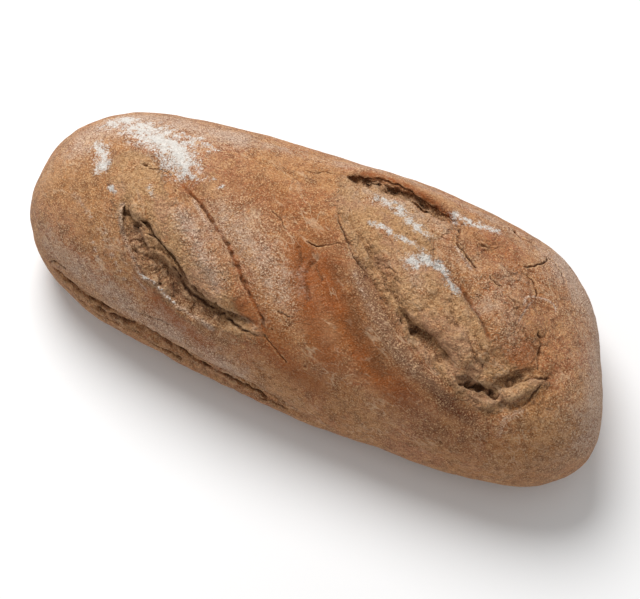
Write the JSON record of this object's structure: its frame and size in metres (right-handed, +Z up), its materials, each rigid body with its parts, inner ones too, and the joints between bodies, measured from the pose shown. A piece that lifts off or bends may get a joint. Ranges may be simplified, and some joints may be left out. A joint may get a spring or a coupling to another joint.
{
  "type": "rye bread loaf",
  "caption": "Long oval hearth-baked rye loaf on a flat base, with slanting burst slashes across the crown, raised lips, a torn crumb tongue in each, and a seam with a rim above the base.",
  "frame": {"origin": "middle of the loaf's bounding box at the level of its flat base", "axes": "+X along the loaf towards its wider end, -Y towards the side with the seam, +Z up"},
  "size_m": [0.2984, 0.129, 0.0901],
  "materials": {
    "crust": "matt warm brown rye crust, fine floury grain, tan torn crumb in the slashes, white flour dust in patches"
  },
  "bodies": {
    "root": {"loaf": "crust"}
  },
  "joints": []
}
